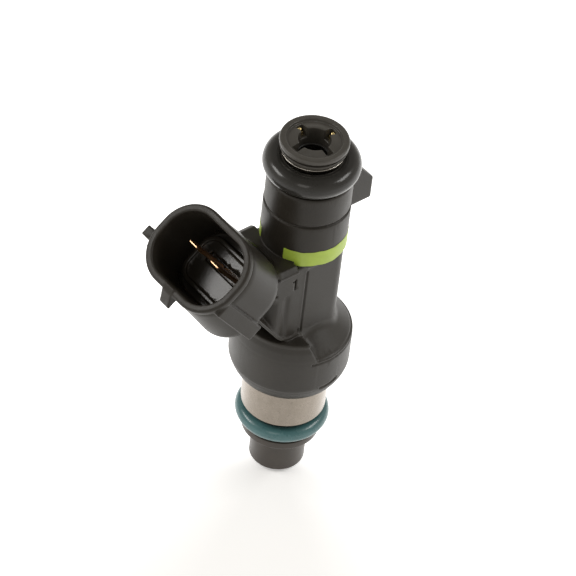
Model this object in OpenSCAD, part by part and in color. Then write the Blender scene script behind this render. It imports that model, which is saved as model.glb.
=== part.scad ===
// Top-feed solenoid fuel injector with an upward-slanted two-pin connector.
// +Z runs up the injector's axis from the spray tip. The connector points to -X.
// The origin is the centre of the tip's lower end face. Millimetres.

/* [Overall] */
// Height from the spray tip to the top of the inlet lip
overall_h = 64.5; // [64.2:0.1:65.2]
// Needle lift when the coil is energised
needle_lift = 0.08; // [0.05:0.01:0.12]

/* [Seals] */
// Outer diameter of the upper O-ring, which seals in the fuel rail cup
upper_ring_od = 14.2; // [13.9:0.1:14.6]
// Thickness of the upper O-ring's cord
upper_ring_cs = 3.3; // [3.0:0.1:3.4]
// Outer diameter of the lower O-ring, which seals in the manifold boss
lower_ring_od = 14.2; // [13.8:0.1:14.6]
// Thickness of the lower O-ring's cord
lower_ring_cs = 2.4; // [2.2:0.1:2.6]

/* [Body] */
// Diameter of the moulded body above the neck
body_d = 12.7; // [12.5:0.1:12.9]
// Diameter of the moulded bulge round the coil
bulge_d = 18.0; // [17.6:0.1:18.6]
// Distance across the neck's two flats
neck_flats = 10.2; // [10.0:0.1:10.6]
// Diameter of the stainless coil shell
shell_d = 12.8; // [12.7:0.1:12.9]
// Diameter of the spray tip
tip_d = 8.4; // [8.2:0.1:8.6]

/* [Connector] */
// Angle of the connector's axis above the horizontal
conn_tilt = 52; // [51:0.5:53]
// Width of the connector's mouth
conn_w = 17.3; // [16.8:0.1:17.8]
// Height of the connector's mouth, square to its axis
conn_h = 12.9; // [12.6:0.1:13.2]
// Length of the connector's shroud
conn_len = 11.2; // [11:0.1:11.5]
// Distance between the centres of the two terminal blades
blade_pitch = 4.9; // [4.8:0.05:5.0]

/* [Hidden] */
$fn = 96;
tiny = 0.01;
big = 60;

// Heights up the axis
z_cap_flange = 6.4;
z_cap_top = 8.3;
z_lower_ring = z_cap_top + 0.3 + lower_ring_cs / 2;
z_shell_foot = 11.7;
z_bulge_foot = 19.3;
z_bulge_wall = 22.4;
z_bulge_edge = 27.9;
z_deck = 31.2;
z_neck_top = 44.15;
z_band_low = 45.4;
z_band_high = 48.1;
z_split_line = 52.7;
z_body_top = 58;
z_upper_ring = z_body_top + upper_ring_cs / 2 + 0.35;
z_lip_low = z_upper_ring + upper_ring_cs / 2 + 0.5;
z_cap_seat = z_lip_low + 0.3;
z_cap_lip = 63.3;

// Radii
body_r = body_d / 2;
bulge_r = bulge_d / 2;
bulge_foot_r = 7.75;
shell_r = shell_d / 2;
shell_wall = 0.6;
tip_r = tip_d / 2;
flange_r = 6.0;
neck_r = 6.05;
fit_gap = 0.02;
inlet_r = upper_ring_od / 2 - upper_ring_cs - fit_gap;
inlet_bore = 3.2;
core_r = inlet_r;
core_bore = 1.7;
lower_seat_r = lower_ring_od / 2 - lower_ring_cs - fit_gap;
armature_r = 3.4;
needle_r = 1.15;
ball_r = 1.5;

// Step in the moulding: the connector's side of it stands higher
step_x = -2.9;
web_half = neck_flats / 2;
gusset_half = 2.5;
z_gusset = 48.6;
z_ledge = 45.7;

// Connector frame: the mouth's centre, and the shroud's directions in the XZ plane
mouth = [-19.6, 0, 51.4];
conn_wall = 1.15;
conn_round = 5.7;
rim_depth = 1.1;
rim_step = 0.2;
socket_depth = 8.8;
blade_w = 1.85;
blade_t = 0.64;
blade_up = 0.93;
blade_tip = 0.65;
blade_root = 9.6;

// Coil space
bobbin_low = 20.4;
bobbin_high = 27.9;
z_yoke = 28.0;
z_shell_top = 29.0;
bobbin_flange = 0.8;
bobbin_core_r = 4.35;
shell_bore = shell_r - shell_wall;

// Valve group at rest: the ball closes the seat
z_ball = 3.7;
z_armature = 19.4;
armature_h = 4.4;
air_gap = 0.12;
z_core_foot = z_armature + armature_h + air_gap;
spring_low = z_armature + armature_h - 1.4;
spring_high = 32;
spring_r = 1.2;
spring_wire = 0.4;
spring_turns = 8;

// Points of an arc, counted from angle a0 to a1 in n steps
function arc(cx, cy, r, a0, a1, n = 8) =
    [for (i = [0 : n]) let (a = a0 + (a1 - a0) * i / n) [cx + r * cos(a), cy + r * sin(a)]];

// Places children in the connector's frame: local X is -Y, local Y points to the shroud's
// upper side, and local Z runs out of the mouth
module in_connector(depth = 0) {
    translate(mouth)
        rotate([0, conn_tilt - 90, 0])
            rotate([0, 0, 90])
                rotate([0, 0, 180])
                    translate([0, 0, -depth])
                        children();
}

// Rounded rectangle with exact arcs
module rounded(w, h, r) {
    square([w - 2 * r, h], center = true);
    square([w, h - 2 * r], center = true);
    for (sx = [-1, 1], sy = [-1, 1])
        translate([sx * (w / 2 - r), sy * (h / 2 - r)])
            circle(r);
}

// Ring between two heights
module ring(r_out, r_in, z_low, z_high) {
    translate([0, 0, z_low])
        difference() {
            cylinder(r = r_out, h = z_high - z_low);
            translate([0, 0, -1])
                cylinder(r = r_in, h = z_high - z_low + 2);
        }
}

// Plate in the XZ plane, from a polygon of [x, z] points
module side_plate(points, half) {
    rotate([90, 0, 0])
        linear_extrude(height = 2 * half, center = true)
            polygon(points);
}

// O-ring of circular section
module o_ring(od, cs, z) {
    translate([0, 0, z])
        rotate_extrude()
            translate([od / 2 - cs / 2, 0])
                circle(cs / 2);
}

// Bulge round the coil: rounded foot, straight wall and a sloping shoulder
module bulge() {
    edge = 0.3;
    rotate_extrude()
        polygon(concat(
            [[4, z_bulge_foot], [bulge_foot_r - edge, z_bulge_foot]],
            arc(bulge_foot_r - edge, z_bulge_foot + edge, edge, -90, -35, 4),
            arc(bulge_r - 2.6, z_bulge_wall, 2.6, -35, 0, 7),
            arc(bulge_r - edge, z_bulge_edge - edge, edge, 0, 50, 4),
            [[5.1, 31], [4, 31]]
        ));
}

// Level deck of the bulge on the connector's side
module deck() {
    edge = 0.3;
    intersection() {
        rotate_extrude()
            polygon(concat(
                [[4, z_bulge_wall + 1], [bulge_r, z_bulge_wall + 1], [bulge_r, z_bulge_edge + 0.4]],
                arc(bulge_r - 0.45 - edge, z_deck - edge, edge, 0, 90, 4),
                [[4, z_deck]]
            ));
        translate([-big + step_x, -big / 2, 0])
            cube([big, big, big]);
    }
}

// Neck with two flats, and the shoulder that widens it to the upper body
module neck() {
    intersection() {
        translate([0, 0, z_bulge_edge])
            cylinder(r = neck_r, h = z_band_low - z_bulge_edge);
        translate([-big / 2, -neck_flats / 2, 0])
            cube([big, neck_flats, big]);
    }
    shoulder = z_band_low - z_neck_top;
    translate([0, 0, z_neck_top])
        cylinder(r1 = body_r - shoulder, r2 = body_r, h = shoulder);
}

// Upper body up to the O-ring groove, with the moulding's split line
module upper_body() {
    edge = 0.25;
    split = 0.4;
    rotate_extrude()
        polygon(concat(
            [[4, z_band_low - tiny], [body_r, z_band_low - tiny], [body_r, z_split_line]],
            [[body_r - 0.35, z_split_line + 0.08], [body_r - 0.35, z_split_line + split]],
            arc(body_r - 0.1 - edge, z_split_line + split + edge, edge, -90, 0, 4),
            arc(body_r - 0.05 - edge, z_body_top - edge, edge, 0, 90, 4),
            [[4, z_body_top]]
        ));
}

// Orientation lug behind the body, with a sloped upper edge
module lug() {
    reach = 11.4;
    low = z_band_high + 0.05;
    side_plate([[4.5, low], [reach - 0.2, low], [reach, low + 0.2], [reach, 52.1],
        [9.1, 54.8], [body_r - 0.3, 57.6], [4.5, 57.6]], 1.1);
}

// A point of the side view, from how far it lies out of the mouth and above the shroud's axis
function conn_xz(out, up) = [
    mouth[0] - out * cos(conn_tilt) + up * sin(conn_tilt),
    mouth[2] + out * sin(conn_tilt) + up * cos(conn_tilt)
];

// Web that carries the connector: a wide lower part with a shallow pocket in each side,
// and a narrow upper part with rounded edges that runs up to the body
module web() {
    foot_up = -1.9;
    rim = 0.55;
    edge = 1.4;
    difference() {
        side_plate([conn_xz(-conn_len + 1, foot_up), conn_xz(-24.5, foot_up),
            [step_x, z_deck - 1], [step_x, z_ledge], [-8.3, z_ledge],
            conn_xz(-conn_len + 1, 3)], web_half);
        for (side = [-1, 1])
            translate([0, side * web_half, 0])
                side_plate([conn_xz(-16, foot_up + rim), conn_xz(-23.2, foot_up + rim),
                    [-5.6, 31.9], [-4.2, 31.9], [-4.2, 38.2], [-5.2, 39.6], [-8.6, 39.9]], 0.9);
    }
    intersection() {
        translate([-14, 0, 36])
            rotate([90, 0, 90])
                linear_extrude(height = 14 - 4.5)
                    translate([0, (z_gusset - 36) / 2])
                        rounded(2 * gusset_half, z_gusset - 36, edge);
        side_plate([conn_xz(-conn_len + 1, -1), conn_xz(-conn_len + 1, conn_h / 2 - 1.2),
            [-9.5, z_gusset + 1], [-4.5, z_gusset + 1], [-4.5, 38]], 4);
    }
}

// Cavity number on the web's side
module cavity_number() {
    translate([-4.85, -web_half - 0.12, 41.1])
        cube([0.35, 0.4, 2.3]);
    translate([-5.2, -web_half - 0.12, 42.75])
        rotate([0, 45, 0])
            cube([0.3, 0.4, 0.75]);
}

// Flush side rails, a keying tab on one side, and the latch nib under the shroud
module latches() {
    rail_low = -4.0;
    rail_high = -1.5;
    in_connector(conn_len - 0.15)
        translate([-conn_w / 2 + rim_step / 2, rail_low, 0])
            cube([conn_w - rim_step, rail_high - rail_low, conn_len - 0.5]);
    tab_out = 1.85;
    tab_len = 2.6;
    in_connector(rim_depth + tab_len)
        translate([-conn_w / 2 - tab_out, -3.1, 0])
            cube([1.5 + tab_out, 1.55, tab_len]);
    nib_w = 1.95;
    nib_h = 1.75;
    nib_len = 2.05;
    in_connector(nib_len)
        translate([nib_w / 2, -conn_h / 2 + 0.5, 0])
            rotate([0, -90, 0])
                linear_extrude(height = nib_w)
                    polygon([[0, 0], [nib_len - 0.1, 0], [nib_len - 0.1, -0.6],
                        [0.3, -nib_h - 0.5], [0, -nib_h - 0.5]]);
}

// Shroud of the connector: a blind rounded box with a slightly wider rim. Its underside
// drops away from the mouth, so a second box leans down from the rim.
module shroud() {
    lean = 6;
    lean_len = conn_len - 2;
    in_connector(rim_depth)
        translate([0, -conn_h / 2 + rim_step, 0])
            rotate([-lean, 0, 0])
                translate([0, conn_h / 2 - rim_step, -lean_len])
                    linear_extrude(height = lean_len)
                        rounded(conn_w - 2 * rim_step - 0.1, conn_h - 2 * rim_step, conn_round - rim_step);
    in_connector(conn_len)
        linear_extrude(height = conn_len - rim_depth + tiny)
            rounded(conn_w - 2 * rim_step, conn_h - 2 * rim_step, conn_round - rim_step);
    in_connector(rim_depth)
        linear_extrude(height = rim_depth)
            rounded(conn_w, conn_h, conn_round);
}

// Socket inside the shroud, with a groove round the raised floor
module socket() {
    inner_w = conn_w - 2 * conn_wall;
    inner_h = conn_h - 2 * conn_wall;
    inner_round = conn_round - conn_wall;
    ledge = 0.9;
    groove = 0.75;
    in_connector(socket_depth)
        linear_extrude(height = socket_depth + 1)
            rounded(inner_w, inner_h, inner_round);
    in_connector(socket_depth + 0.6)
        linear_extrude(height = 1)
            difference() {
                rounded(inner_w - 2 * ledge, inner_h - 2 * ledge, inner_round - ledge);
                rounded(inner_w - 2 * (ledge + groove), inner_h - 2 * (ledge + groove),
                    inner_round - ledge - groove);
            }
}

// Path of one terminal through the moulding: a blade, then a tail down to the coil
module terminal_path(side) {
    tail_x = -4.9;
    tail_w = 0.9;
    tail_len = 23.5;
    in_connector(blade_root)
        translate([-side * blade_pitch / 2 - blade_w / 2, blade_up - blade_t / 2, 0])
            cube([blade_w, blade_t, blade_root - blade_tip]);
    in_connector(tail_len)
        translate([-side * blade_pitch / 2 - tail_w / 2, blade_up - blade_t / 2, 0])
            cube([tail_w, blade_t, tail_len - blade_root + 1]);
    translate([tail_x, side * blade_pitch / 2 - tail_w / 2, bobbin_high])
        cube([0.7, tail_w, 34 - bobbin_high]);
}

module overmould() {
    color("#3b3b38")
        difference() {
            union() {
                bulge();
                deck();
                neck();
                upper_body();
                lug();
                web();
                shroud();
                latches();
                cavity_number();
            }
            socket();
            // seat of the inlet tube and core
            translate([0, 0, z_bulge_foot - 1])
                cylinder(r = inlet_r, h = z_body_top);
            // seat of the coil shell and its closing ring
            translate([0, 0, z_bulge_foot - 1])
                cylinder(r = shell_r, h = z_shell_top - z_bulge_foot + 1);
            for (side = [-1, 1])
                terminal_path(side);
        }
}

module colour_band() {
    color("#a8c840")
        difference() {
            ring(body_r + 0.06, body_r, z_band_low, z_band_high);
            translate([-big, -gusset_half, z_band_low - 1])
                cube([big, 2 * gusset_half, 5]);
            translate([-big + step_x, -web_half, z_band_low - 1])
                cube([big, 2 * web_half, z_ledge - z_band_low + 1]);
        }
}

module upper_o_ring() {
    color("#262626")
        o_ring(upper_ring_od, upper_ring_cs, z_upper_ring);
}

module lower_o_ring() {
    color("#4f8488")
        o_ring(lower_ring_od, lower_ring_cs, z_lower_ring);
}

// Thin ring that fills the lower seal's groove up to the coil shell
module lower_spacer() {
    color("#3a3632")
        ring(lower_seat_r + 0.75, lower_seat_r, z_lower_ring + lower_ring_cs / 2 + 0.05, z_shell_foot);
}

// Cap of the inlet filter: a skirt, a rounded lip, a shallow dish and four notches
module filter_cap() {
    lip_r = 5.03;
    skirt_r = 4.6;
    hole_r = 2.35;
    notch_w = 1.16;
    notch_r = 3.62;
    color("#30302f")
        difference() {
            rotate_extrude()
                polygon(concat(
                    [[hole_r, 62.0], [2.95, 61.6], [inlet_bore, 61.6], [inlet_bore, z_cap_seat],
                        [skirt_r, z_cap_seat], [skirt_r, z_cap_lip]],
                    arc(lip_r - 0.2, z_cap_lip + 0.2, 0.2, -90, 0, 4),
                    arc(lip_r - 0.3, overall_h - 0.3, 0.3, 0, 90, 5),
                    [[4.15, overall_h], [4.0, overall_h - 0.4], [hole_r + 0.15, overall_h - 0.14],
                        [hole_r, overall_h - 0.3]]
                ));
            for (turn = [0, 90])
                rotate([0, 0, turn])
                    translate([-notch_r, -notch_w / 2, 60])
                        cube([2 * notch_r, notch_w, 10 - (70 - overall_h)]);
        }
}

// Brass collar that holds the filter screen in the inlet tube
module filter_collar() {
    color("#c9a55a")
        ring(inlet_bore, 2.9, 57.6, 61.6);
}

// Filter basket: a closed cup of fine mesh on four ribs
module filter_screen() {
    rib = 0.5;
    low = 48.6;
    color("#d8d4c4") {
        difference() {
            translate([0, 0, low])
                cylinder(r1 = 2.1, r2 = 2.5, h = 61.0 - low);
            translate([0, 0, low + 0.5])
                cylinder(r1 = 1.85, r2 = 2.25, h = 61.1 - low);
        }
        for (turn = [0 : 90 : 270])
            rotate([0, 0, turn + 45])
                translate([2.0, -rib / 2, 57.8])
                    cube([0.88, rib, 3.0]);
    }
}

// Inlet tube with a flared lip that holds the upper O-ring
module inlet_tube() {
    flare_r = 4.72;
    color("#5a5a58")
        rotate_extrude()
            polygon(concat(
                [[inlet_bore, 38], [inlet_r, 38], [inlet_r, z_lip_low - 0.4]],
                [[inlet_r + 0.15, z_lip_low]],
                arc(flare_r - 0.1, z_lip_low + 0.1, 0.1, -90, 0, 3),
                arc(flare_r - 0.1, z_cap_seat - 0.1, 0.1, 0, 90, 3),
                [[inlet_bore, z_cap_seat]]
            ));
}

// Sleeve pressed into the core to set the spring's load
module adjusting_sleeve() {
    color("#8d8d8a")
        ring(core_bore, 0.8, spring_high, 36.5);
}

// Fixed pole of the magnet
module pole_core() {
    color("#9a9a98")
        difference() {
            ring(core_r, core_bore, z_core_foot, 38);
            ring(3.2, 2.4, z_core_foot - 1, z_core_foot + 0.4);
        }
}

// Ring that closes the magnetic circuit over the coil
module yoke_ring() {
    slot = 1.4;
    color("#7d7d7a")
        difference() {
            ring(shell_r, core_r, z_yoke, z_shell_top);
            translate([-big, -blade_pitch / 2 - slot / 2 - 0.1, z_yoke - 1])
                cube([big, blade_pitch + slot + 0.2, 3]);
        }
}

// Stainless shell round the coil, whose lower half shows below the moulding
module coil_shell() {
    chamfer = 0.3;
    color("#c2bdb4")
        rotate_extrude()
            polygon([[lower_seat_r, z_shell_foot], [shell_r - chamfer, z_shell_foot],
                [shell_r, z_shell_foot + chamfer], [shell_r, z_yoke], [shell_bore, z_yoke],
                [shell_bore, 19.3], [lower_seat_r, 19.3]]);
}

// Spool of the coil
module coil_bobbin() {
    spool_r = shell_bore - 0.1;
    color("#b9b29c") {
        ring(bobbin_core_r, core_r + 0.05, bobbin_low, bobbin_high);
        ring(spool_r, core_r + 0.05, bobbin_low, bobbin_low + bobbin_flange);
        ring(spool_r, core_r + 0.05, bobbin_high - bobbin_flange, bobbin_high);
    }
}

// Copper winding, drawn as the closed shape of its layers
module coil_winding() {
    layers = 12;
    low = bobbin_low + bobbin_flange;
    high = bobbin_high - bobbin_flange;
    pitch = (high - low) / layers;
    wound_r = shell_bore - 0.45;
    color("#b5652f")
        rotate_extrude()
            polygon(concat(
                [[bobbin_core_r, high], [bobbin_core_r, low]],
                [for (i = [0 : layers - 1], k = [0 : 3])
                    [wound_r - 0.12 + 0.12 * sin(45 * k + 22.5), low + pitch * (i + (k + 0.5) / 4)]]
            ));
}

// Seal that keeps fuel out of the coil
module coil_seal() {
    color("#3c2f2a")
        ring(shell_bore, lower_seat_r + 0.3, 19.3, 20.3);
}

module terminal_left() {
    color("#c98a4b")
        terminal_path(-1);
}

module terminal_right() {
    color("#c98a4b")
        terminal_path(1);
}

// Non-magnetic ring between the core and the valve body
module isolating_ring() {
    color("#a8a49a")
        ring(core_r, armature_r + 0.06, 21.6, z_core_foot);
}

// Spring that shuts the needle
module return_spring() {
    steps = 16;
    rings = spring_turns * steps;
    pitch = (spring_high - spring_low - spring_wire) / spring_turns;
    sides = 8;
    points = [for (i = [0 : rings], k = [0 : sides - 1])
        let (a = 360 * i / steps, b = 360 * k / sides)
        [(spring_r + spring_wire / 2 * cos(b)) * cos(a),
         (spring_r + spring_wire / 2 * cos(b)) * sin(a),
         spring_low + spring_wire / 2 + pitch * i / steps + spring_wire / 2 * sin(b)]];
    sides_faces = [for (i = [0 : rings - 1], k = [0 : sides - 1])
        let (a = i * sides + k, b = i * sides + (k + 1) % sides)
        [a, b, b + sides, a + sides]];
    ends = [[for (k = [0 : sides - 1]) sides - 1 - k], [for (k = [0 : sides - 1]) rings * sides + k]];
    color("#9c9c9c")
        polyhedron(points = points, faces = [for (f = concat(sides_faces, ends)) [for (i = f) i]]);
}

// Moving iron of the magnet, with a seat for the spring
module armature() {
    color("#8f8f8c")
        rotate_extrude()
            polygon([[needle_r, z_armature], [armature_r - 0.2, z_armature],
                [armature_r, z_armature + 0.2], [armature_r, z_armature + armature_h],
                [core_bore, z_armature + armature_h], [core_bore, spring_low],
                [0.8, spring_low], [0.8, spring_low - 0.8], [needle_r, spring_low - 0.8]]);
}

// Hollow needle between the armature and the ball
module needle_tube() {
    wall = 0.3;
    low = z_ball + sqrt(pow(ball_r, 2) - pow(needle_r - wall, 2));
    color("#b0b0ae")
        difference() {
            ring(needle_r, needle_r - wall, low, spring_low - 0.8);
            translate([-2, -0.3, 7])
                cube([4, 0.6, 1.2]);
        }
}

// Ball that closes the seat, with flats for the fuel's way past it
module valve_ball() {
    color("#c8c8c8")
        difference() {
            translate([0, 0, z_ball])
                sphere(ball_r);
            for (turn = [0 : 72 : 288])
                rotate([0, 0, turn])
                    translate([ball_r - 0.15, -2, z_ball - 0.5])
                        cube([2, 4, 2]);
        }
}

// Stepped stainless tube that guides the needle and carries the lower seal
module valve_body() {
    foot = 1.6;
    color("#b4b0a8")
        rotate_extrude()
            polygon([[2.9, foot], [3.3, foot], [3.3, z_cap_flange], [lower_seat_r, z_cap_flange],
                [lower_seat_r, 20.3], [core_r, 20.3], [core_r, 21.6], [armature_r + 0.06, 21.6],
                [armature_r + 0.06, 19.2], [2.4, 19.2], [2.4, 6], [2.9, 6]]);
}

// Disc that keeps the needle on the axis
module needle_guide() {
    color("#a9a59c")
        difference() {
            ring(2.4, needle_r + 0.03, 15, 16.2);
            for (turn = [0 : 60 : 300])
                rotate([0, 0, turn])
                    translate([1.85, 0, 14])
                        cylinder(r = 0.35, h = 4, $fn = 24);
        }
}

// Hard ring in the core's foot that stops the armature and keeps the air gap
module stop_washer() {
    color("#d0cdc4")
        ring(3.2, 2.4, z_core_foot + needle_lift - air_gap + tiny, z_core_foot + 0.4);
}

// Seat with a cone that the ball closes
module valve_seat() {
    seat_low = 2.1;
    hole_r = 0.6;
    well_r = 1.75;
    // the 45 degree cone touches the ball, less a hair of clearance
    cone = z_ball - ball_r * sqrt(2) - tiny;
    color("#9fa0a0")
        rotate_extrude()
            polygon([[hole_r, seat_low], [2.9, seat_low], [2.9, 6], [well_r, 6],
                [well_r, cone + well_r], [hole_r, cone + hole_r]]);
}

// Plate with the spray holes
module orifice_plate() {
    color("#8e8f8f")
        difference() {
            translate([0, 0, 1.6])
                cylinder(r = 2.9, h = 0.5);
            for (turn = [0 : 90 : 270])
                rotate([0, 0, turn + 45])
                    translate([0.35, 0, 1])
                        cylinder(r = 0.12, h = 2, $fn = 24);
        }
}

// Plastic cap over the nozzle, whose flange holds the lower O-ring
module nozzle_cap() {
    edge = 0.35;
    color("#4b4540")
        rotate_extrude()
            polygon(concat(
                [[2.2, 0.5], [2.6, 0], [tip_r, 0]],
                [[tip_r, z_cap_flange - 0.3], [tip_r + 0.3, z_cap_flange]],
                arc(flange_r - edge, z_cap_flange + edge, edge, -90, 0, 5),
                [[flange_r + 0.1, z_cap_top - 0.1], [flange_r, z_cap_top]],
                [[lower_seat_r, z_cap_top], [lower_seat_r, z_cap_flange], [3.3, z_cap_flange],
                    [3.3, 1.6], [2.2, 1.6]]
            ));
}

overmould();
colour_band();
upper_o_ring();
filter_cap();
filter_collar();
filter_screen();
inlet_tube();
adjusting_sleeve();
pole_core();
yoke_ring();
coil_shell();
coil_bobbin();
coil_winding();
coil_seal();
terminal_left();
terminal_right();
isolating_ring();
return_spring();
armature();
needle_tube();
valve_ball();
valve_body();
needle_guide();
stop_washer();
valve_seat();
orifice_plate();
lower_o_ring();
lower_spacer();
nozzle_cap();
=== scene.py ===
import math

import bmesh
import bpy
import numpy as np
from mathutils import Matrix, Vector


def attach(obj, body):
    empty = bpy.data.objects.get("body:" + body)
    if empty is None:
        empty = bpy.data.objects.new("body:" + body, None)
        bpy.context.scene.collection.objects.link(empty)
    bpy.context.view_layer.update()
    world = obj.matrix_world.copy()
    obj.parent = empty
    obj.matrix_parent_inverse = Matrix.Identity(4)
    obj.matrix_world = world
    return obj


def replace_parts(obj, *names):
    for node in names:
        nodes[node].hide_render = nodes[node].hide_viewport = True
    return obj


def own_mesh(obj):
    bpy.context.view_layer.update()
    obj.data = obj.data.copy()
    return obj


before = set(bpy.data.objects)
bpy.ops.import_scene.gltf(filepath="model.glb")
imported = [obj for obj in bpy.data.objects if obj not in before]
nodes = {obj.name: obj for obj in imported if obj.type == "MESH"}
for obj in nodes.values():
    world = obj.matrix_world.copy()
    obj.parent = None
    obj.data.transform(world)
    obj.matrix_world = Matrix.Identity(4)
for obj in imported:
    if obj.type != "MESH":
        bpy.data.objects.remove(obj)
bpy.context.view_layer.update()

# ---------------------------------------------------------------------------
# Moulded body. Black glass-filled nylon, moulded in one shot round the coil
# and the inlet tube. It forms the bulge, the neck, the upper body, the lug
# and the connector, and every inside corner has a small fillet.
# ---------------------------------------------------------------------------

MM = 0.001


def soft_min(a, b, k):
    """Union of two distances, with a fillet about k wide in their corner."""
    h = np.maximum(k - np.abs(a - b), 0.0) / k
    return np.minimum(a, b) - h * h * k * 0.25


def soft_max(a, b, k):
    """What two distances share, with its edge rounded by about k."""
    h = np.maximum(k - np.abs(a - b), 0.0) / k
    return np.maximum(a, b) + h * h * k * 0.25


def profile_distance(points, px, pz):
    """Signed distance from (px, pz) to a closed polygon, negative inside."""
    pts = np.asarray(points, float)
    best = np.full(px.shape, 1e9)
    inside = np.zeros(px.shape, bool)
    for (ax, az), (bx, bz) in zip(pts, np.roll(pts, -1, axis=0)):
        ex, ez = bx - ax, bz - az
        wx, wz = px - ax, pz - az
        t = np.clip((wx * ex + wz * ez) / (ex * ex + ez * ez + 1e-12), 0, 1)
        best = np.minimum(best, (wx - ex * t) ** 2 + (wz - ez * t) ** 2)
        crosses = (az > pz) != (bz > pz)
        with np.errstate(divide="ignore", invalid="ignore"):
            at = ax + (pz - az) / (bz - az) * ex
        inside ^= crosses & (px < at)
    return np.sqrt(best) * np.where(inside, -1.0, 1.0)


def round_rect(a, b, half_a, half_b, r):
    """Signed distance to a rectangle with corners of radius r."""
    qa, qb = np.abs(a) - (half_a - r), np.abs(b) - (half_b - r)
    return np.hypot(np.maximum(qa, 0), np.maximum(qb, 0)) + np.minimum(np.maximum(qa, qb), 0) - r


def slab(v, low, high):
    """Signed distance to the space between two parallel planes."""
    return np.maximum(low - v, v - high)


def box3(x, y, z, low, high):
    """Signed distance to a box."""
    q = [np.abs(v - (l + h) / 2) - (h - l) / 2 for v, l, h in zip((x, y, z), low, high)]
    out = np.sqrt(sum(np.maximum(c, 0) ** 2 for c in q))
    return out + np.minimum(np.maximum(np.maximum(q[0], q[1]), q[2]), 0)


def mesh_of(distance, low, high, step):
    """Closed mesh of the surface where distance is zero, with one point per crossed cell."""
    n = [int(math.ceil((h - l) / step)) + 1 for l, h in zip(low, high)]
    axes = [l + step * np.arange(c) for l, c in zip(low, n)]
    field = np.empty(n, np.float32)
    for i in range(0, n[0], 16):
        gx, gy, gz = np.meshgrid(axes[0][i : i + 16], axes[1], axes[2], indexing="ij")
        field[i : i + 16] = distance(gx, gy, gz)
    solid = field < 0
    cells = [c - 1 for c in n]
    count = np.zeros(cells, np.int8)
    for dx in (0, 1):
        for dy in (0, 1):
            for dz in (0, 1):
                count += solid[dx : dx + cells[0], dy : dy + cells[1], dz : dz + cells[2]]
    crossed = (count > 0) & (count < 8)
    number = np.full(cells, -1, np.int64)
    where = np.argwhere(crossed)
    number[crossed] = np.arange(len(where))
    total = np.zeros((len(where), 3))
    hits = np.zeros(len(where))
    i, j, k = where.T
    for axis in range(3):
        others = [a for a in range(3) if a != axis]
        for u in (0, 1):
            for v in (0, 1):
                off = [0, 0, 0]
                off[others[0]], off[others[1]] = u, v
                end = list(off)
                end[axis] = 1
                a = field[i + off[0], j + off[1], k + off[2]]
                b = field[i + end[0], j + end[1], k + end[2]]
                cut = (a < 0) != (b < 0)
                t = np.where(cut, a / np.where(cut, a - b, 1.0), 0.0)
                p = np.tile(np.array(off, float), (len(where), 1))
                p[:, axis] = t
                total[cut] += p[cut]
                hits[cut] += 1
    verts = (where + total / hits[:, None]) * step + np.array(low)
    faces = []
    for axis in range(3):
        o1, o2 = [a for a in range(3) if a != axis]
        a = solid.take(range(0, n[axis] - 1), axis=axis)
        b = solid.take(range(1, n[axis]), axis=axis)
        edge = np.argwhere(a != b)
        keep = (edge[:, o1] > 0) & (edge[:, o2] > 0) & (edge[:, o1] < cells[o1]) & (edge[:, o2] < cells[o2])
        edge = edge[keep]
        quad = []
        for u, v in ((0, 0), (1, 0), (1, 1), (0, 1)):
            c = edge.copy()
            c[:, o1] -= u
            c[:, o2] -= v
            quad.append(number[c[:, 0], c[:, 1], c[:, 2]])
        quad = np.stack(quad, axis=1)
        outward = a[edge[:, 0], edge[:, 1], edge[:, 2]]
        if axis == 1:
            outward = ~outward
        quad[~outward] = quad[~outward][:, ::-1]
        faces.append(quad)
    return verts, np.concatenate(faces)


def slope_of(distance, p, d=0.02):
    """Gradient of the distance at each point."""
    g = np.empty_like(p)
    for axis in range(3):
        e = np.zeros(3)
        e[axis] = d
        hi, lo = p + e, p - e
        g[:, axis] = distance(hi[:, 0], hi[:, 1], hi[:, 2]) - distance(lo[:, 0], lo[:, 1], lo[:, 2])
    return g / (2 * d)


def settle(distance, verts, step, rounds=3):
    """Moves each point onto the surface along its slope."""
    for _ in range(rounds):
        d = distance(verts[:, 0], verts[:, 1], verts[:, 2])
        g = slope_of(distance, verts)
        size = np.maximum((g * g).sum(1), 0.2)
        move = -(d / size)[:, None] * g
        far = np.linalg.norm(move, axis=1, keepdims=True)
        verts = verts + move * np.minimum(1, 0.5 * step / np.maximum(far, 1e-9))
    return verts


def face_out(made):
    """Turns every face of a closed piece outward."""
    shape = bmesh.new()
    shape.from_mesh(made.data)
    bmesh.ops.recalc_face_normals(shape, faces=shape.faces)
    shape.to_mesh(made.data)
    shape.free()
    return made


def object_from(name, verts, faces, smooth=True):
    """Mesh object from points in millimetres."""
    mesh = bpy.data.meshes.new(name)
    mesh.from_pydata((np.asarray(verts) * MM).tolist(), [], [list(map(int, f)) for f in faces])
    mesh.validate()
    mesh.polygons.foreach_set("use_smooth", [smooth] * len(mesh.polygons))
    made = bpy.data.objects.new(name, mesh)
    bpy.context.scene.collection.objects.link(made)
    return made


def carved(name, distance, low, high, step):
    """Mesh object of the surface where distance is zero."""
    verts, faces = mesh_of(distance, low, high, step)
    return object_from(name, settle(distance, verts, step), faces)


def node(tree, kind, **settings):
    """Adds a shader node. A setting whose value is a socket is linked, and any other is set."""
    made = tree.nodes.new(kind)
    for key, value in settings.items():
        if key.startswith("in_"):
            name = key[3:].replace("_", " ")
            entry = made.inputs[int(name)] if name.isdigit() else made.inputs[name]
            if isinstance(value, bpy.types.NodeSocket):
                tree.links.new(value, entry)
            else:
                entry.default_value = value
        else:
            setattr(made, key, value)
    return made


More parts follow.
